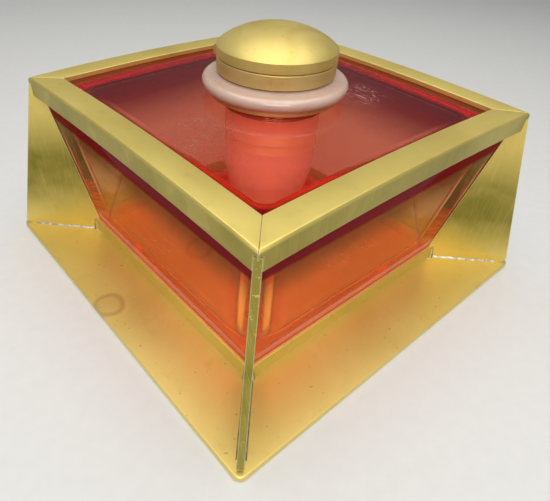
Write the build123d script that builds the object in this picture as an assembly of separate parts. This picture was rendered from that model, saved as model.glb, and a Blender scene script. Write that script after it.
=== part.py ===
"""Square glass inkwell in a soldered brass skeleton, with an opal ink pot and a hinged brass lid.

Millimetres, +Z up, origin at the centre of the base plate's underside.
The front is -Y, and the lid's hinge is at the back, +Y, with its pin along X.
"""
from build123d import *
import math
import os

# ---- driving dimensions -------------------------------------------------------------------
SHEET = 1.2                 # brass angle strip
BASE_SIZE = 112.0           # side of the square base plate
BASE_THICKNESS = 1.4
BASE_CORNER_RADIUS = 2.0
BASE_EDGE_RADIUS = 0.35

FRAME_SIZE = 92.0           # outer side of the square top frame
FRAME_TOP = 48.8            # height of the frame's top face at its corners
FRAME_BOW = 1.2             # rise of each side at its middle, over the crowned glass
STRIP_WIDTH = 6.9           # top flange of the angle strip
STRIP_DEPTH = 4.7           # outer leg of the angle strip
STRIP_EDGE_CHAMFER = 0.5
MITRE_GAP = 0.08            # soldered seam between two mitred strips

FIN_THICKNESS = 1.6
FIN_TOP_REACH = 64.7        # along the diagonal, from the centre
FIN_FOOT_REACH = 77.9
FIN_FOOT_ROUND = 1.6
FIN_HEAD_GAP = 0.15         # solder between a fin's top and the frame's underside

CURB_SIZE = 77.6            # outer side of the raised curb round the glass foot
CURB_THICKNESS = 1.0
CURB_HEIGHT = 4.3
CURB_EDGE_RADIUS = 0.3

GLASS_FOOT_SIZE = 73.8
GLASS_TOP_SIZE = 88.8
GLASS_CORNER_RADIUS = 1.5
GLASS_WALL = 5.1
GLASS_FLOOR = 7.0
GLASS_ROOF = 6.0            # at the corners; the crowned top makes it thicker in the middle
CAVITY_CORNER_RADIUS = 7.0
CAVITY_EDGE_RADIUS = 4.0
GLASS_GAP = 0.1             # between the glass and the brass round it
MOUTH_RADIUS = 13.3         # hole in the glass body that takes the pot

SEAT_RING_RADIUS = 16.5
SEAT_RING_HEIGHT = 1.45
SEAT_EDGE_RADIUS = 0.4

FLANGE_RADIUS = 18.4
FLANGE_HEIGHT = 3.0
SHOULDER_RISE = 1.0         # how far the flange's top slopes up to the collar
POT_NECK_RADIUS = 12.7      # below the flange
POT_WAIST_RADIUS = 12.1
POT_WAIST_Z = 32.0
POT_BOTTOM_Z = 13.3
POT_WALL = 2.2
POT_RIM_RADIUS = 13.6       # above the flange, inside the collar
POT_MOUTH_RADIUS = 10.6
POT_RIM_ROUND = 0.8

CAP_RADIUS = 14.8           # collar and lid
CAP_SHEET = 0.95
COLLAR_HEIGHT = 3.3
COLLAR_FIT = 0.1            # cement between the pot's rim and the collar
SEAM = 0.15                 # between the collar and the closed lid
LID_BAND_HEIGHT = 2.3
LID_DOME_HEIGHT = 4.8
CAP_EDGE_RADIUS = 0.25

KNUCKLE_RADIUS = 1.5
KNUCKLE_CLEARANCE = 0.25    # from the cap's wall to the barrel
HINGE_DROP = 1.9            # from the seam down to the pin
BARREL_LENGTH = 11.6
LID_KNUCKLE_LENGTH = 3.6
KNUCKLE_END_GAP = 0.1
LEAF_THICKNESS = 0.8        # lid's leaf, from the barrel up to its band
LEAF_RISE = 1.5
PIN_RADIUS = 0.6
PIN_RUNNING_GAP = 0.05
PIN_HEAD_RADIUS = 0.95
PIN_HEAD_THICKNESS = 0.35

BEAD_SIZE = 0.4             # leg of the solder bead along a fin's foot
BLOB_RADIUS = 0.9           # solder blob in the corner between curb and fin

# ---- derived heights ----------------------------------------------------------------------
FRAME_UNDER = FRAME_TOP - SHEET
FIN_TOP = FRAME_UNDER - FIN_HEAD_GAP
BOW_RADIUS = FRAME_SIZE**2 / (8 * FRAME_BOW) + FRAME_BOW / 2
FRAME_INNER = FRAME_SIZE / 2 - STRIP_WIDTH
GLASS_BOTTOM = BASE_THICKNESS + GLASS_GAP
GLASS_CROWN = FRAME_UNDER + FRAME_BOW + FRAME_INNER**2 / (2 * BOW_RADIUS)
SEAT_BOTTOM = GLASS_CROWN - MOUTH_RADIUS**2 / (2 * BOW_RADIUS)
FLANGE_BOTTOM = SEAT_BOTTOM + SEAT_RING_HEIGHT
FLANGE_TOP = FLANGE_BOTTOM + FLANGE_HEIGHT
COLLAR_BOTTOM = FLANGE_TOP + SHOULDER_RISE
COLLAR_TOP = COLLAR_BOTTOM + COLLAR_HEIGHT
LID_BOTTOM = COLLAR_TOP + SEAM
LID_SHOULDER = LID_BOTTOM + LID_BAND_HEIGHT
LID_TOP = LID_SHOULDER + LID_DOME_HEIGHT
HINGE_Y = CAP_RADIUS + KNUCKLE_CLEARANCE + KNUCKLE_RADIUS
HINGE_Z = COLLAR_TOP - HINGE_DROP

SIDES = {"front": 0, "right": 90, "back": 180, "left": 270}
CORNERS = {"front_right": -45, "back_right": 45, "back_left": 135, "front_left": 225}


def glass_half_width(z):
    """Half the glass body's outer width at height z."""
    share = (z - GLASS_BOTTOM) / (FRAME_UNDER - GLASS_BOTTOM)
    return (GLASS_FOOT_SIZE + (GLASS_TOP_SIZE - GLASS_FOOT_SIZE) * share) / 2


def glass_corner_reach(z):
    """Distance of the glass body's rounded corner from the axis, along the diagonal."""
    return math.sqrt(2) * glass_half_width(z) - (math.sqrt(2) - 1) * GLASS_CORNER_RADIUS


def base_plate():
    plate = extrude(RectangleRounded(BASE_SIZE, BASE_SIZE, BASE_CORNER_RADIUS), BASE_THICKNESS)
    return fillet(plate.faces().sort_by(Axis.Z)[-1].edges(), BASE_EDGE_RADIUS)


def fin(angle):
    """Upright plate on a diagonal: its inner edge follows the glass, its outer edge flares."""
    outline = Polyline(
        (glass_corner_reach(BASE_THICKNESS) + GLASS_GAP, BASE_THICKNESS),
        (FIN_FOOT_REACH, BASE_THICKNESS),
        (FIN_TOP_REACH, FIN_TOP),
        (glass_corner_reach(FIN_TOP) + GLASS_GAP, FIN_TOP),
        close=True,
    )
    face = make_face(outline)
    foot = face.vertices().sort_by(Axis.X)[-1]
    face = fillet(foot, FIN_FOOT_ROUND)
    plate = extrude(Plane.XZ * face, FIN_THICKNESS / 2, both=True)
    return Rot(0, 0, angle) * plate


def side_sector():
    """The quarter of the square that belongs to the front side, cut on the two diagonals."""
    reach = BASE_SIZE
    triangle = Polyline((0, -MITRE_GAP / 2), (-reach, -reach), (reach, -reach), close=True)
    return extrude(make_face(triangle), LID_TOP)


def curb_strip(angle, fins):
    """A straight strip on the base plate, mitred and slit for the fins."""
    bar = extrude(Plane.YZ * curb_profile(), CURB_SIZE / 2, both=True)
    return Rot(0, 0, angle) * (bar & side_sector()) - fins


def frame_strip(angle, fins):
    """An angle strip bent upwards to a long arc, mitred and slit for the fins."""
    bend = Axis((0, 0, FRAME_TOP + FRAME_BOW - BOW_RADIUS), (0, 1, 0))
    sweep_angle = 2 * math.degrees(math.asin(FRAME_SIZE / (2 * BOW_RADIUS))) + 1
    bar = revolve(Plane.YZ * frame_profile(), bend, sweep_angle)
    bar = bar.rotate(bend, -sweep_angle / 2)
    return Rot(0, 0, angle) * (bar & side_sector()) - fins


def frame_profile():
    """Angle section of the top frame at mid-span: top flange and a leg down its outer side."""
    outer = -FRAME_SIZE / 2
    inner = -FRAME_INNER
    top = FRAME_TOP + FRAME_BOW
    bottom = top - STRIP_DEPTH
    outline = Polyline(
        (outer, bottom),
        (outer, top),
        (inner, top),
        (inner, top - SHEET),
        (outer + SHEET, top - SHEET),
        (outer + SHEET, bottom),
        close=True,
    )
    face = make_face(outline)
    corner = face.vertices().filter_by_position(Axis.Y, top, top).sort_by(Axis.X)[0]
    return chamfer(corner, STRIP_EDGE_CHAMFER)


def curb_profile():
    """Plain upright strip with rounded top edges."""
    outer = -CURB_SIZE / 2
    top = BASE_THICKNESS + CURB_HEIGHT
    centre = (outer + CURB_THICKNESS / 2, BASE_THICKNESS + CURB_HEIGHT / 2)
    face = Pos(*centre) * Rectangle(CURB_THICKNESS, CURB_HEIGHT)
    return fillet(face.vertices().filter_by_position(Axis.Y, top, top), CURB_EDGE_RADIUS)


def frustum(foot_size, top_size, bottom, top, corner_radius):
    foot = Pos(0, 0, bottom) * RectangleRounded(foot_size, foot_size, corner_radius)
    head = Pos(0, 0, top) * RectangleRounded(top_size, top_size, corner_radius)
    return loft([foot, head])


def glass_body():
    """Thick-walled square vessel that widens upwards, with a crowned top and one round mouth."""
    crown_size = 2 * glass_half_width(GLASS_CROWN)
    outside = frustum(GLASS_FOOT_SIZE, crown_size, GLASS_BOTTOM, GLASS_CROWN, GLASS_CORNER_RADIUS)
    outside = outside & Pos(0, 0, GLASS_CROWN - BOW_RADIUS) * Sphere(BOW_RADIUS)
    floor = GLASS_BOTTOM + GLASS_FLOOR
    roof = FRAME_TOP - GLASS_ROOF
    foot_size = 2 * (glass_half_width(floor) - GLASS_WALL)
    head_size = 2 * (glass_half_width(roof) - GLASS_WALL)
    cavity = frustum(foot_size, head_size, floor, roof, CAVITY_CORNER_RADIUS)
    ends = cavity.faces().sort_by(Axis.Z)
    cavity = fillet(ends[0].edges() + ends[-1].edges(), CAVITY_EDGE_RADIUS)
    mouth = Pos(0, 0, GLASS_CROWN) * Cylinder(MOUTH_RADIUS, GLASS_CROWN - floor)
    return outside - cavity - mouth


def revolved(*edges):
    """Turn a closed outline, drawn as radius and height, into a solid about the Z axis."""
    face = make_face(Curve() + list(edges))
    return revolve(Plane.XZ * face, Axis.Z, 360)


def seat_ring():
    thickness = SEAT_RING_RADIUS - MOUTH_RADIUS
    centre = ((SEAT_RING_RADIUS + MOUTH_RADIUS) / 2, SEAT_BOTTOM + SEAT_RING_HEIGHT / 2)
    section = Pos(*centre) * Rectangle(thickness, SEAT_RING_HEIGHT)
    section = fillet(section.vertices().sort_by(Axis.X)[-2:], SEAT_EDGE_RADIUS)
    return revolve(Plane.XZ * section, Axis.Z, 360)


def ink_pot():
    """Opal glass pot: tapered bowl, full-round flange and a short rim that the collar grips."""
    rim_top = COLLAR_TOP - COLLAR_FIT
    half = FLANGE_HEIGHT / 2
    floor = POT_BOTTOM_Z + POT_WALL
    inner_waist = POT_WAIST_RADIUS - POT_WALL
    bowl = Bezier(
        (0, POT_BOTTOM_Z),
        (POT_WAIST_RADIUS * 0.36, POT_BOTTOM_Z),
        (POT_WAIST_RADIUS, POT_WAIST_Z - 10),
        (POT_WAIST_RADIUS, POT_WAIST_Z),
    )
    neck = Line((POT_WAIST_RADIUS, POT_WAIST_Z), (POT_NECK_RADIUS, FLANGE_BOTTOM))
    under = Line((POT_NECK_RADIUS, FLANGE_BOTTOM), (FLANGE_RADIUS - half, FLANGE_BOTTOM))
    edge = ThreePointArc(
        (FLANGE_RADIUS - half, FLANGE_BOTTOM),
        (FLANGE_RADIUS, FLANGE_BOTTOM + half),
        (FLANGE_RADIUS - half, FLANGE_TOP),
    )
    shoulder = Spline(
        (FLANGE_RADIUS - half, FLANGE_TOP),
        (POT_RIM_RADIUS, COLLAR_BOTTOM),
        tangents=[(-1, 0), (-1, 0.55)],
    )
    rim = Line((POT_RIM_RADIUS, COLLAR_BOTTOM), (POT_RIM_RADIUS, rim_top - POT_RIM_ROUND))
    lip = RadiusArc(
        (POT_RIM_RADIUS, rim_top - POT_RIM_ROUND),
        (POT_RIM_RADIUS - POT_RIM_ROUND, rim_top),
        -POT_RIM_ROUND,
    )
    top = Line((POT_RIM_RADIUS - POT_RIM_ROUND, rim_top), (POT_MOUTH_RADIUS, rim_top))
    inside = Line((POT_MOUTH_RADIUS, rim_top), (inner_waist, POT_WAIST_Z))
    hollow = Bezier(
        (inner_waist, POT_WAIST_Z),
        (inner_waist, POT_WAIST_Z - 9),
        (inner_waist * 0.3, floor),
        (0, floor),
    )
    axis = Line((0, floor), (0, POT_BOTTOM_Z))
    return revolved(bowl, neck, under, edge, shoulder, rim, lip, top, inside, hollow, axis)


def collar():
    """Short brass band cemented round the pot's rim."""
    inner = POT_RIM_RADIUS + COLLAR_FIT
    centre = ((CAP_RADIUS + inner) / 2, COLLAR_BOTTOM + COLLAR_HEIGHT / 2)
    section = Pos(*centre) * Rectangle(CAP_RADIUS - inner, COLLAR_HEIGHT)
    section = fillet(section.vertices().sort_by(Axis.X)[-2:], CAP_EDGE_RADIUS)
    return revolve(Plane.XZ * section, Axis.Z, 360)


def dome_curve(radius, shoulder, top):
    """Half section of the dome, from its shoulder to its flat crown."""
    rise = top - shoulder
    return Bezier(
        (radius, shoulder),
        (radius * 0.87, shoulder + rise * 0.41),
        (radius * 0.49, top),
        (0, top),
    )


def lid():
    """Domed cap of even thickness with a short upright band."""
    inner = CAP_RADIUS - CAP_SHEET
    crown = LID_TOP - CAP_SHEET
    edge = CAP_RADIUS - CAP_EDGE_RADIUS
    return revolved(
        Line((inner, LID_BOTTOM), (edge, LID_BOTTOM)),
        RadiusArc((edge, LID_BOTTOM), (CAP_RADIUS, LID_BOTTOM + CAP_EDGE_RADIUS), -CAP_EDGE_RADIUS),
        Line((CAP_RADIUS, LID_BOTTOM + CAP_EDGE_RADIUS), (CAP_RADIUS, LID_SHOULDER)),
        dome_curve(CAP_RADIUS, LID_SHOULDER, LID_TOP),
        Line((0, LID_TOP), (0, crown)),
        dome_curve(inner, LID_SHOULDER, crown),
        Line((inner, LID_SHOULDER), (inner, LID_BOTTOM)),
    )


def along_x(radius, start, end):
    """Cylinder on the hinge axis from x = start to x = end."""
    middle = Pos((start + end) / 2, HINGE_Y, HINGE_Z)
    return middle * Rot(0, 90, 0) * Cylinder(radius, end - start)


def cap_wall():
    """Everything inside the collar's and lid's outer wall."""
    return Pos(0, 0, HINGE_Z) * Cylinder(CAP_RADIUS, 10 * KNUCKLE_RADIUS)


def block(x_range, y_range, z_range):
    """Box between two bounds on each axis."""
    bounds = (x_range, y_range, z_range)
    centre = [(low + high) / 2 for low, high in bounds]
    return Pos(*centre) * Box(*[high - low for low, high in bounds])


def lid_hinge_knuckle():
    """Middle piece of the barrel, with a thin leaf that rises past the collar to the lid's band."""
    half = LID_KNUCKLE_LENGTH / 2
    leaf_inner = CAP_RADIUS + SEAM
    leaf_outer = leaf_inner + LEAF_THICKNESS
    leaf_top = LID_BOTTOM + LEAF_RISE
    leaf = block((-half, half), (leaf_inner, leaf_outer), (HINGE_Z, leaf_top))
    foot = block((-half, half), (CAP_RADIUS * 0.9, leaf_outer), (LID_BOTTOM, leaf_top)) - cap_wall()
    barrel = along_x(KNUCKLE_RADIUS, -half, half)
    return barrel + leaf + foot - along_x(PIN_RADIUS + PIN_RUNNING_GAP, -half, half)


def collar_hinge_knuckles():
    """Outer two pieces of the barrel, each with a tongue to the collar's wall."""
    near = LID_KNUCKLE_LENGTH / 2 + KNUCKLE_END_GAP
    far = BARREL_LENGTH / 2
    low = HINGE_Z - KNUCKLE_RADIUS / 2
    high = HINGE_Z + KNUCKLE_RADIUS / 2
    knuckles = []
    for start, end in ((near, far), (-far, -near)):
        tongue = block((start, end), (CAP_RADIUS * 0.9, HINGE_Y), (low, high)) - cap_wall()
        barrel = along_x(KNUCKLE_RADIUS, start, end)
        knuckles.append(barrel + tongue - along_x(PIN_RADIUS, start, end))
    return knuckles


def hinge_pin():
    """Riveted pin with a small flat head at each end of the barrel."""
    far = BARREL_LENGTH / 2
    pin = along_x(PIN_RADIUS, -far, far)
    pin += along_x(PIN_HEAD_RADIUS, far, far + PIN_HEAD_THICKNESS)
    pin += along_x(PIN_HEAD_RADIUS, -far - PIN_HEAD_THICKNESS, -far)
    return pin


def solder_beads(curbs, fins):
    """A bead along both sides of each fin's foot, with a blob where it meets the curb."""
    start = math.sqrt(2) * CURB_SIZE / 2 - FIN_THICKNESS / 2
    end = FIN_FOOT_REACH - 2 * FIN_FOOT_ROUND
    side = FIN_THICKNESS / 2
    beads = []
    for angle in CORNERS.values():
        for sign in (-1, 1):
            section = Polyline(
                (sign * side, BASE_THICKNESS),
                (sign * (side + BEAD_SIZE), BASE_THICKNESS),
                (sign * side, BASE_THICKNESS + BEAD_SIZE),
                close=True,
            )
            bead = Pos(start, 0, 0) * extrude(Plane.YZ * make_face(section), end - start)
            blob = Cone(BLOB_RADIUS, BLOB_RADIUS / 3, CURB_HEIGHT * 0.8)
            blob = Pos(start, sign * side, BASE_THICKNESS + CURB_HEIGHT * 0.4) * blob
            bead = Rot(0, 0, angle) * (bead + blob) - curbs - fins
            beads.append(bead.solids().sort_by(SortBy.VOLUME)[-1])
    return beads


def build():
    """Every sub-part, by node name."""
    fins = {name: fin(angle) for name, angle in CORNERS.items()}
    all_fins = Part() + list(fins.values())
    nodes = {"base_plate": base_plate()}
    for name, shape in fins.items():
        nodes["corner_fin_" + name] = shape
    for name, angle in SIDES.items():
        nodes["top_frame_" + name] = frame_strip(angle, all_fins)
    curbs = {}
    for name, angle in SIDES.items():
        curbs["foot_curb_" + name] = curb_strip(angle, all_fins)
    nodes.update(curbs)
    nodes["solder_beads"] = solder_beads(Part() + list(curbs.values()), all_fins)
    nodes["glass_body"] = glass_body()
    nodes["seat_ring"] = seat_ring()
    nodes["ink_pot"] = ink_pot()
    nodes["collar"] = collar()
    nodes["collar_hinge_knuckles"] = collar_hinge_knuckles()
    nodes["hinge_pin"] = hinge_pin()
    nodes["lid"] = lid()
    nodes["lid_hinge_knuckle"] = lid_hinge_knuckle()
    return nodes


os.makedirs("parts", exist_ok=True)
for node, shape in build().items():
    solids = shape if isinstance(shape, list) else shape.solids()
    export_step(Compound(children=list(solids)), f"parts/{node}.step")
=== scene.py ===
"""Looks of the brass-framed red glass inkwell: materials, fine detail, camera, lights and floor."""
import bpy
import bmesh
import math
from mathutils import Matrix, Vector


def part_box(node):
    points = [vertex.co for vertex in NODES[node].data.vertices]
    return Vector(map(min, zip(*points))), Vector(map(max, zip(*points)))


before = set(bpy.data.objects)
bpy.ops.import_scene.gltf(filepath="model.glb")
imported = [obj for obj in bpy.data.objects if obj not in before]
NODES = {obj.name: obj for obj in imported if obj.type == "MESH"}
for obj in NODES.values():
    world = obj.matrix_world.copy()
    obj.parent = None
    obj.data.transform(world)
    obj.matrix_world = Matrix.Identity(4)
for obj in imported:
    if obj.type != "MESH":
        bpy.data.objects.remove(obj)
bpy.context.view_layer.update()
MM = 0.001

FINS = [n for n in NODES if n.startswith("corner_fin")]
STRIPS = [n for n in NODES if n.startswith("top_frame")]
CURBS = [n for n in NODES if n.startswith("foot_curb")]
CAP_PIECES = ["lid", "lid_hinge_knuckle", "hinge_pin", "collar_hinge_knuckles"]
RING_PIECES = ["collar", "seat_ring"]

PLATE_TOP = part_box("base_plate")[1][2]
FRAME_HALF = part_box("top_frame_right")[1][0]
SEAT_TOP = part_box("seat_ring")[1][2]

# The camera's place and pose in units of half the top frame's side, and its lens.
CAMERA_PLACE = (-1.840, -1.852, 2.033)
CAMERA_RIGHT = (0.76672, -0.64086, 0.03793)
CAMERA_AHEAD = (0.4976, 0.55591, -0.66585)
CAMERA_FOCAL = 0.841        # focal length as a share of the picture's width
CAMERA_SHIFT = (0.0632, 0.0416)
SENSOR_MM = 36.0

# Brass tones, each as (clean, dull, dark), and how far each kind counts as bare metal: the thin
# dull skin of old brass scatters the rest of the light.
# The dark tone also paints shade: the darker upright outer faces of the strips and the olive middle of
# the fins.
FRAME_TONES = ((0.87, 0.70, 0.21), (0.78, 0.60, 0.15), (0.23, 0.20, 0.02))
PLATE_TONES = ((0.88, 0.71, 0.24), (0.77, 0.59, 0.16), (0.46, 0.33, 0.08))
CAP_TONES = ((0.74, 0.59, 0.20), (0.64, 0.49, 0.13), (0.34, 0.25, 0.05))
COLLAR_TONES = ((0.78, 0.60, 0.25), (0.66, 0.48, 0.16), (0.34, 0.22, 0.05))
# Edge tone: partly wear, partly a painted highlight along the edges.
EDGE_HIGHLIGHT_AND_WEAR = (0.90, 0.83, 0.50)
SHEET_METAL = 0.66
SPUN_METAL = 0.62

# A dried drop's ring on the base plate, left of the glass.
STAIN_CENTRE = (-51.9 * MM, 4.5 * MM, PLATE_TOP)
STAIN_RADIUS = 6 * MM
STAIN_BROWN = (0.46, 0.20, 0.08)
SPECK_BROWN = (0.30, 0.20, 0.08)

# Colours of the glass: what its surface and body let through, what it mirrors, what its matt parts
# scatter (painted shade in a ruby band, painted salmon light at the foot and underside, pale
# scratches), and how it colours its shadow.
AMBER_TINT = (0.86, 0.74, 0.58)
RUBY_WALL = (0.24, 0.006, 0.012)
RUBY_TOP = (1.0, 0.52, 0.55)
BODY_COLOUR = (0.950, 0.42, 0.12)
BODY_DENSITY = 95.0
RED_SHEEN = (0.40, 0.14, 0.14)
# Painted shade: the matt dark ruby of the band under the frame.
PAINTED_RUBY_SHADE = (0.30, 0.004, 0.018)
# Painted light: the salmon of the matt underside and of the line over the curb.
PAINTED_SALMON_LIGHT = (1.0, 0.66, 0.48)
MATT_SCRATCH = (0.95, 0.80, 0.76)
SHADOW_TINT = (0.92, 0.86, 0.80)

# Heights between which the glass changes, each as (low, high).
PAINTED_LIGHT_UNDERSIDE = (3 * MM, 5 * MM)            # matt salmon below (painted light), clear above
PAINTED_LIGHT_LINE = (7.8 * MM, 9.8 * MM)        # painted light: a salmon line just over the curb
AMBER_TO_RUBY = (27 * MM, 36 * MM)
CROWN = (36 * MM, 40 * MM)              # level faces above it are the crowned top
PAINTED_SHADE_BAND = (37.5 * MM, 38.8 * MM)       # painted shade: a matt dark ruby band from here up to the frame

# The patch of the glass top that is scratched most.
WORN_PATCH = (18 * MM, -13 * MM, 49.5 * MM)
WORN_REACH = 11 * MM

LAMP_TARGET = (0, 0, 30 * MM)
FLOOR_HALF = 1.5
FLOOR_DROP = 0.2 * MM       # below the plate's underside, so that the two don't share a plane


# ---- node helpers ---------------------------------------------------------------------------
class Tree:
    """A material's node tree with short calls for the nodes used here."""

    def __init__(self, name):
        self.material = bpy.data.materials.new(name)
        self.material.use_nodes = True
        self.tree = self.material.node_tree
        self.nodes = self.tree.nodes
        self.nodes.clear()
        self.output = self.nodes.new("ShaderNodeOutputMaterial")

    def add(self, kind, **settings):
        node = self.nodes.new("ShaderNode" + kind)
        for key, value in settings.items():
            setattr(node, key, value)
        return node

    def link(self, source, target):
        self.tree.links.new(source, target)

    def feed(self, socket, value):
        """Sets a socket to a number or colour, or links it to another socket."""
        if isinstance(value, bpy.types.NodeSocket):
            self.link(value, socket)
        elif isinstance(value, (tuple, list)) and len(value) == 3 and len(socket.default_value) == 4:
            socket.default_value = (*value, 1)
        else:
            socket.default_value = value

    def principled(self, **inputs):
        shader = self.add("BsdfPrincipled")
        for key, value in inputs.items():
            self.feed(shader.inputs[key.replace("_", " ")], value)
        return shader

    def place(self, scale=(1, 1, 1), rotation=(0, 0, 0)):
        """The place on the part, in metres, scaled and turned."""
        coords = self.add("TexCoord")
        mapping = self.add("Mapping")
        mapping.inputs["Scale"].default_value = scale
        mapping.inputs["Rotation"].default_value = rotation
        self.link(coords.outputs["Object"], mapping.inputs["Vector"])
        return mapping.outputs["Vector"]

    def axis_part(self, axis, source="Normal"):
        """One part of the surface normal, or of the place, along an axis of the part."""
        vector = self.add("TexCoord").outputs[source]
        parts = self.add("SeparateXYZ")
        self.link(vector, parts.inputs["Vector"])
        return parts.outputs[axis]

    def vector_math(self, operation, a, b):
        node = self.add("VectorMath", operation=operation)
        self.feed(node.inputs[0], a)
        self.feed(node.inputs[1], b)
        return node

    def noise(self, scale, detail=4, rough=0.55, vector=None, distortion=0.0):
        node = self.add("TexNoise")
        self.link(vector or self.place(), node.inputs["Vector"])
        node.inputs["Scale"].default_value = scale
        node.inputs["Detail"].default_value = detail
        node.inputs["Roughness"].default_value = rough
        node.inputs["Distortion"].default_value = distortion
        return node.outputs["Fac"]

    def ramp(self, value, *stops):
        """Colour ramp: stops are (position, colour or number)."""
        node = self.add("ValToRGB")
        self.link(value, node.inputs["Fac"])
        elements = node.color_ramp.elements
        while len(elements) < len(stops):
            elements.new(0.5)
        for element, (position, colour) in zip(elements, stops):
            element.position = position
            if not isinstance(colour, (tuple, list)):
                colour = (colour, colour, colour)
            element.color = (*colour, 1)
        return node.outputs["Color"]

    def math(self, operation, a, b=0.0, clamp=False):
        node = self.add("Math", operation=operation, use_clamp=clamp)
        self.feed(node.inputs[0], a)
        self.feed(node.inputs[1], b)
        return node.outputs["Value"]

    def times(self, a, b):
        return self.math("MULTIPLY", a, b)

    def rest(self, value):
        """What is left of 1."""
        return self.math("SUBTRACT", 1.0, value, clamp=True)

    def mix(self, factor, a, b):
        node = self.add("MixRGB")
        self.feed(node.inputs["Fac"], factor)
        self.feed(node.inputs["Color1"], a)
        self.feed(node.inputs["Color2"], b)
        return node.outputs["Color"]

    def spread(self, value, low, high):
        """Maps 0..1 to low..high."""
        node = self.add("MapRange")
        self.link(value, node.inputs["Value"])
        node.inputs["To Min"].default_value = low
        node.inputs["To Max"].default_value = high
        return node.outputs["Result"]

    def rise(self, low, high):
        """0 below the low height and 1 above the high one."""
        node = self.add("MapRange")
        self.link(self.axis_part("Z", "Object"), node.inputs["Value"])
        node.inputs["From Min"].default_value = low
        node.inputs["From Max"].default_value = high
        return node.outputs["Result"]

    def bump(self, height, strength, distance):
        node = self.add("Bump")
        node.inputs["Strength"].default_value = strength
        node.inputs["Distance"].default_value = distance
        self.link(height, node.inputs["Height"])
        return node.outputs["Normal"]

    def scratches(self, count, turn, stretch=60):
        """Fine straight scratches: a stretched noise, cut to its thin crests."""
        scale = (count, count / stretch, count / stretch)
        crest = self.noise(1.0, detail=2, vector=self.place(scale=scale, rotation=(0.3, 0.2, turn)))
        return self.ramp(crest, (0.60, 0.0), (0.66, 1.0))

    def blend(self, share, first, second):
        """Mixes two shaders: all of the first at 0, all of the second at 1."""
        node = self.add("MixShader")
        self.feed(node.inputs["Fac"], share)
        self.link(first.outputs[0], node.inputs[1])
        self.link(second.outputs[0], node.inputs[2])
        return node

    def finish(self, shader):
        self.link(shader.outputs[0], self.output.inputs["Surface"])
        return self.material


# ---- brass ----------------------------------------------------------------------------------
def edge_highlight_mask(tree, width):
    """1 near a sharp edge, 0 elsewhere: how far a rounded normal turns from the true one. It marks
    where a highlight is painted along the edges.
    """
    bevel = tree.add("Bevel", samples=4)
    bevel.inputs["Radius"].default_value = width
    normal = tree.add("NewGeometry").outputs["Normal"]
    turn = tree.vector_math("DOT_PRODUCT", bevel.outputs["Normal"], normal)
    return tree.ramp(turn.outputs["Value"], (0.80, 1.0), (0.995, 0.0))


def brass(name, tones, cloud=30, marks=0.16, painted_shade=None, stain=None):
    """Satin sheet brass: cloudy tone, optional painted shade, fine scratches, and bright edges that are
    partly wear and partly a painted highlight.
    """
    clean, dull, dark = tones
    tree = Tree(name)
    clouds = tree.noise(cloud, detail=5, distortion=0.6)
    mottle = tree.noise(cloud * 9, detail=3)
    tone = tree.mix(tree.ramp(clouds, (0.34, 0.0), (0.68, 1.0)), clean, dull)
    tone = tree.mix(tree.times(tree.ramp(mottle, (0.60, 0.0), (0.78, 1.0)), 0.16), tone, dark)
    # Painted shade, towards the dark tone, on the faces that the given mask picks.
    if painted_shade is not None:
        tone = tree.mix(painted_shade(tree), tone, dark)
    if stain is not None:
        tone = stain(tree, tone)
    lines = tree.math("MAXIMUM", tree.scratches(7200, 0.5), tree.scratches(5200, -0.9))
    tone = tree.mix(tree.times(lines, marks), tone, clean)
    # Bright edges: partly wear, partly a painted highlight.
    tone = tree.mix(tree.times(edge_highlight_mask(tree, 0.35 * MM), 0.7), tone, EDGE_HIGHLIGHT_AND_WEAR)
    relief = tree.math("ADD", tree.times(clouds, 0.5), tree.times(lines, -0.12))
    shader = tree.principled(
        Base_Color=tone,
        Metallic=SHEET_METAL,
        Roughness=tree.spread(clouds, 0.52, 0.34),
        Normal=tree.bump(relief, 0.16, 0.35 * MM),
    )
    return tree.finish(shader)


def strip_painted_shade(tree):
    """Painted shade: the upright outer faces of the strips' legs are darkened towards olive in cloudy
    patches; the top faces are not.
    """
    across = tree.math("ABSOLUTE", tree.axis_part("X", "Object"))
    along = tree.math("ABSOLUTE", tree.axis_part("Y", "Object"))
    outer = tree.math("GREATER_THAN", tree.math("MAXIMUM", across, along), FRAME_HALF - 2 * MM)
    upright = tree.rest(tree.math("ABSOLUTE", tree.axis_part("Z")))
    patch = tree.spread(tree.ramp(tree.noise(34, detail=4), (0.34, 0.0), (0.62, 1.0)), 0.52, 0.84)
    return tree.times(tree.times(upright, outer), patch)


def fin_painted_shade(tree):
    """Painted shade: an olive patch across the middle of each fin; also darker outward-facing edges
    with pale specks.
    """
    middle = tree.times(tree.rise(4 * MM, 17 * MM), tree.rest(tree.rise(26 * MM, 40 * MM)))
    patch = tree.ramp(tree.noise(48, detail=4, distortion=0.5), (0.30, 0.50), (0.54, 1.0))
    cover = tree.math("ADD", tree.times(tree.times(middle, patch), 0.92), 0.06)
    coords = tree.add("TexCoord")
    outward = tree.add("VectorMath", operation="NORMALIZE")
    tree.link(coords.outputs["Object"], outward.inputs[0])
    facing = tree.vector_math("DOT_PRODUCT", outward.outputs["Vector"], coords.outputs["Normal"])
    edge = tree.ramp(facing.outputs["Value"], (0.45, 0.0), (0.60, 1.0))
    specks = tree.ramp(tree.noise(1300, detail=1), (0.66, 1.0), (0.70, 0.2))
    return tree.math("MAXIMUM", cover, tree.times(tree.times(edge, specks), 0.80))


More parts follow.
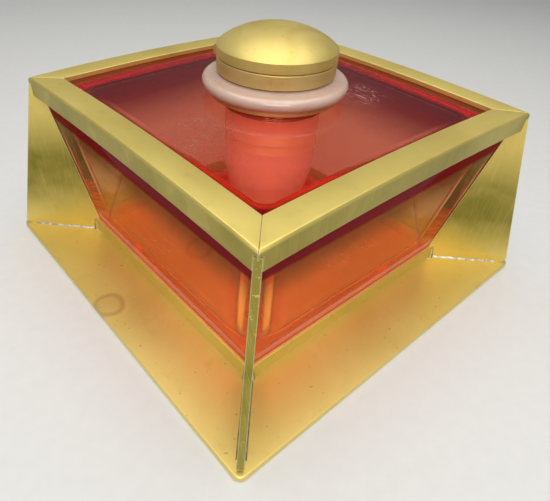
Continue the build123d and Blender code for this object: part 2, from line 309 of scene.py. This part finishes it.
def ring_stain(tree, tone):
    """A dried drop's ring with a wavering outline, and a few small specks."""
    coords = tree.add("TexCoord").outputs["Object"]
    drift = tree.add("TexNoise")
    drift.inputs["Scale"].default_value = 160
    tree.link(coords, drift.inputs["Vector"])
    sway = tree.add("VectorMath", operation="SCALE")
    sway.inputs["Scale"].default_value = 1.6 * MM
    tree.link(drift.outputs["Color"], sway.inputs[0])
    swayed = tree.vector_math("ADD", coords, sway.outputs["Vector"])
    offset = tree.vector_math("DISTANCE", swayed.outputs["Vector"], STAIN_CENTRE)
    away = tree.math("DIVIDE", offset.outputs["Value"], STAIN_RADIUS)
    ring = tree.ramp(away, (0.0, 0.20), (0.46, 0.22), (0.60, 0.75), (0.70, 0.50), (0.78, 0.0))
    tone = tree.mix(tree.times(ring, 0.62), tone, STAIN_BROWN)
    specks = tree.ramp(tree.noise(900, detail=1), (0.74, 0.0), (0.78, 1.0))
    return tree.mix(tree.times(specks, 0.5), tone, SPECK_BROWN)


def spun_brass(name, tones):
    """Brass turned on a lathe: faint rings round the Z axis, soft clouds and a satin gloss."""
    clean, dull, dark = tones
    tree = Tree(name)
    x = tree.axis_part("X", "Object")
    y = tree.axis_part("Y", "Object")
    radius = tree.math("SQRT", tree.math("ADD", tree.times(x, x), tree.times(y, y)))
    section = tree.add("CombineXYZ")
    tree.link(radius, section.inputs["X"])
    tree.link(tree.axis_part("Z", "Object"), section.inputs["Y"])
    lathe = tree.noise(6500, detail=2, vector=section.outputs["Vector"])
    clouds = tree.noise(85, detail=5, distortion=0.8)
    spots = tree.ramp(tree.noise(520, detail=3), (0.62, 0.0), (0.76, 1.0))
    tone = tree.mix(tree.ramp(clouds, (0.34, 0.0), (0.68, 1.0)), clean, dull)
    tone = tree.mix(tree.times(spots, 0.3), tone, dark)
    # Painted highlight: sharp edges lightened towards the clean tone.
    tone = tree.mix(tree.times(edge_highlight_mask(tree, 0.25 * MM), 0.45), tone, clean)
    shader = tree.principled(
        Base_Color=tone,
        Metallic=SPUN_METAL,
        Roughness=tree.spread(clouds, 0.52, 0.40),
        Normal=tree.bump(tree.math("ADD", lathe, clouds), 0.10, 0.12 * MM),
    )
    return tree.finish(shader)


def solder():
    """Lumpy, half dull tin."""
    tree = Tree("soft_solder")
    grain = tree.noise(900, detail=4)
    tone = tree.mix(tree.ramp(grain, (0.35, 0.0), (0.7, 1.0)), (0.74, 0.70, 0.57), (0.46, 0.42, 0.29))
    shader = tree.principled(
        Base_Color=tone,
        Metallic=1.0,
        Roughness=tree.spread(grain, 0.25, 0.45),
        Normal=tree.bump(tree.noise(500, detail=2), 0.5, 0.3 * MM),
    )
    return tree.finish(shader)


# ---- glass ----------------------------------------------------------------------------------
def top_marks(tree):
    """Scratches and pits on the glass top, in rubbed areas and most of all in one patch."""
    top = tree.ramp(tree.axis_part("Z"), (0.90, 0.0), (0.98, 1.0))
    rubbed = tree.ramp(tree.noise(30, detail=3), (0.50, 0.0), (0.66, 0.8))
    patch = tree.vector_math("DISTANCE", tree.place(), WORN_PATCH)
    reach = tree.math("DIVIDE", patch.outputs["Value"], WORN_REACH)
    rubbed = tree.math("MAXIMUM", rubbed, tree.ramp(reach, (0.35, 1.0), (1.0, 0.0)))
    lines = tree.math("MAXIMUM", tree.scratches(6500, 1.45, 40), tree.scratches(5200, 1.9, 30))
    pits = tree.ramp(tree.noise(1100, detail=1), (0.665, 0.0), (0.70, 1.0))
    return tree.times(tree.math("MAXIMUM", lines, pits), tree.times(top, rubbed))


def red_glass():
    """Thick clear glass, ruby near its top and amber near its foot, with some matt parts: scratches, a
    band of painted shade under the frame, and painted salmon light at the foot and underside.
    """
    tree = Tree("red_glass")
    level = tree.ramp(tree.math("ABSOLUTE", tree.axis_part("Z")), (0.90, 0.0), (0.98, 1.0))
    wall = tree.rest(level)
    marks = top_marks(tree)

    tint = tree.mix(tree.rise(*AMBER_TO_RUBY), AMBER_TINT, RUBY_WALL)
    tint = tree.mix(tree.times(level, tree.rise(*CROWN)), tint, RUBY_TOP)
    glass = tree.principled(
        Base_Color=tint,
        Roughness=tree.spread(marks, 0.012, 0.45),
        Normal=tree.bump(tree.noise(38, detail=2), 0.10, 0.6 * MM),
    )
    glass.inputs["Transmission Weight"].default_value = 1.0
    glass.inputs["IOR"].default_value = 1.5
    glass.inputs["Specular Tint"].default_value = (*RED_SHEEN, 1)

    painted_underside_light = tree.times(level, tree.rest(tree.rise(*PAINTED_LIGHT_UNDERSIDE)))
    painted_foot_light = tree.times(wall, tree.rest(tree.rise(*PAINTED_LIGHT_LINE)))
    painted_rim_shade = tree.times(wall, tree.rise(*PAINTED_SHADE_BAND))
    painted_and_scratch_colour = tree.mix(tree.math("MAXIMUM", painted_underside_light, painted_foot_light), PAINTED_RUBY_SHADE, PAINTED_SALMON_LIGHT)
    painted_and_scratch_colour = tree.mix(marks, painted_and_scratch_colour, MATT_SCRATCH)
    glowing = tree.add("BsdfTranslucent")
    tree.feed(glowing.inputs["Color"], painted_and_scratch_colour)
    chalky = tree.add("BsdfDiffuse")
    tree.feed(chalky.inputs["Color"], painted_and_scratch_colour)
    share = 0.0
    # Matt shares: painted light on the underside and the foot line, painted shade in the ruby band, and
    # the scratches.
    for place, strength in ((painted_underside_light, 0.4), (painted_rim_shade, 0.85), (painted_foot_light, 0.65), (marks, 0.55)):
        share = tree.math("ADD", share, tree.times(place, strength), clamp=True)
    surface = tree.blend(share, glass, tree.blend(0.5, glowing, chalky))

    clear = tree.add("BsdfTransparent")
    clear.inputs["Color"].default_value = (*SHADOW_TINT, 1)
    shadow = tree.add("LightPath").outputs["Is Shadow Ray"]
    inside = tree.add("VolumeAbsorption")
    inside.inputs["Color"].default_value = (*BODY_COLOUR, 1)
    inside.inputs["Density"].default_value = BODY_DENSITY
    tree.link(inside.outputs["Volume"], tree.output.inputs["Volume"])
    return tree.finish(tree.blend(shadow, surface, clear))


def opal_glass():
    """Milky glass with faint bands from pressing, rosier on the flange than in the bowl."""
    tree = Tree("opal_glass")
    bands = tree.add("TexWave", wave_type="BANDS", bands_direction="Z")
    tree.link(tree.place(), bands.inputs["Vector"])
    bands.inputs["Scale"].default_value = 55
    bands.inputs["Distortion"].default_value = 1.2
    cloud = tree.noise(120, detail=4)
    flange = tree.mix(tree.ramp(cloud, (0.35, 0.0), (0.7, 1.0)), (0.64, 0.48, 0.40), (0.55, 0.37, 0.29))
    tone = tree.mix(tree.rise(SEAT_TOP - 0.3 * MM, SEAT_TOP), (0.96, 0.90, 0.87), flange)
    tone = tree.mix(tree.times(bands.outputs["Fac"], 0.10), tone, (0.62, 0.42, 0.38))
    shader = tree.principled(
        Base_Color=tone,
        Roughness=tree.spread(cloud, 0.18, 0.34),
        Normal=tree.bump(tree.noise(220, detail=3), 0.12, 0.4 * MM),
    )
    shader.inputs["Subsurface Weight"].default_value = 0.35
    shader.inputs["Subsurface Radius"].default_value = (1.0, 0.6, 0.5)
    shader.inputs["Subsurface Scale"].default_value = 2.5 * MM
    shader.inputs["Coat Weight"].default_value = 0.5
    shader.inputs["Coat Roughness"].default_value = 0.12
    return tree.finish(shader)


# ---- pieces ---------------------------------------------------------------------------------
def paint(names, material):
    for name in names:
        obj = NODES[name]
        obj.data.materials.clear()
        obj.data.materials.append(material)


def soften_edges(names, width):
    """Breaks the sharp edges of plain CAD pieces with a narrow rounding."""
    for name in names:
        obj = NODES[name]
        weld = obj.modifiers.new("join", "WELD")
        weld.merge_threshold = 1e-6
        bevel = obj.modifiers.new("soften", "BEVEL")
        bevel.width = width
        bevel.segments = 3
        bevel.limit_method = "ANGLE"
        bevel.angle_limit = math.radians(40)
        bevel.harden_normals = False


# ---- camera, lights and floor ---------------------------------------------------------------
def camera():
    data = bpy.data.cameras.new("camera")
    obj = bpy.data.objects.new("camera", data)
    bpy.context.collection.objects.link(obj)
    ahead = Vector(CAMERA_AHEAD).normalized()
    right = Vector(CAMERA_RIGHT)
    right = (right - ahead * right.dot(ahead)).normalized()
    up = right.cross(ahead)
    turn = Matrix((right, up, -ahead)).transposed().to_4x4()
    obj.matrix_world = Matrix.Translation(Vector(CAMERA_PLACE) * FRAME_HALF) @ turn
    data.sensor_width = SENSOR_MM
    data.lens = CAMERA_FOCAL * SENSOR_MM
    data.shift_x, data.shift_y = CAMERA_SHIFT
    data.clip_start = 0.005
    data.dof.use_dof = False
    bpy.context.scene.camera = obj


def softbox(name, place, size, power, colour):
    """A rectangular lamp, turned towards the inkwell."""
    data = bpy.data.lights.new(name, "AREA")
    data.shape = "RECTANGLE"
    data.size, data.size_y = size
    data.energy = power
    data.color = colour
    obj = bpy.data.objects.new(name, data)
    bpy.context.collection.objects.link(obj)
    obj.location = place
    obj.rotation_euler = (Vector(LAMP_TARGET) - Vector(place)).to_track_quat("-Z", "Y").to_euler()


def lights():
    softbox("overhead", (-0.02, -0.02, 0.50), size=(0.60, 0.60), power=2.7, colour=(1.0, 0.985, 0.95))
    softbox("key", (-0.34, -0.40, 0.42), size=(0.40, 0.30), power=1.9, colour=(1.0, 0.98, 0.94))
    world = bpy.data.worlds.new("studio")
    world.use_nodes = True
    background = world.node_tree.nodes["Background"]
    background.inputs["Color"].default_value = (0.90, 0.95, 1.0, 1)
    background.inputs["Strength"].default_value = 0.16
    bpy.context.scene.world = world
    bpy.context.scene.view_settings.view_transform = "Standard"


def light_paths():
    """Light turns many times inside thick glass before it leaves, so its paths are kept long."""
    cycles = bpy.context.scene.cycles
    cycles.max_bounces = 20
    cycles.glossy_bounces = 18
    cycles.transmission_bounces = 18


def floor_paper():
    tree = Tree("floor_paper")
    tone = tree.mix(tree.noise(300, detail=4), (0.66, 0.66, 0.65), (0.72, 0.72, 0.71))
    return tree.finish(tree.principled(Base_Color=tone, Roughness=0.85))


def floor():
    mesh = bpy.data.meshes.new("floor")
    form = bmesh.new()
    bmesh.ops.create_grid(form, x_segments=2, y_segments=2, size=FLOOR_HALF)
    form.to_mesh(mesh)
    form.free()
    obj = bpy.data.objects.new("floor", mesh)
    bpy.context.collection.objects.link(obj)
    obj.location.z = -FLOOR_DROP
    mesh.materials.append(floor_paper())


camera()
light_paths()
lights()
floor()

paint(STRIPS, brass("strip_brass", FRAME_TONES, painted_shade=strip_painted_shade))
paint(FINS, brass("fin_brass", FRAME_TONES, painted_shade=fin_painted_shade))
paint(CURBS, brass("curb_brass", FRAME_TONES, marks=0.1))
paint(["base_plate"], brass("plate_brass", PLATE_TONES, cloud=22, marks=0.1, stain=ring_stain))
paint(["solder_beads"], solder())
paint(CAP_PIECES, spun_brass("cap_brass", CAP_TONES))
paint(RING_PIECES, spun_brass("collar_brass", COLLAR_TONES))
paint(["glass_body"], red_glass())
paint(["ink_pot"], opal_glass())
soften_edges(FINS + CURBS + STRIPS, 0.15 * MM)
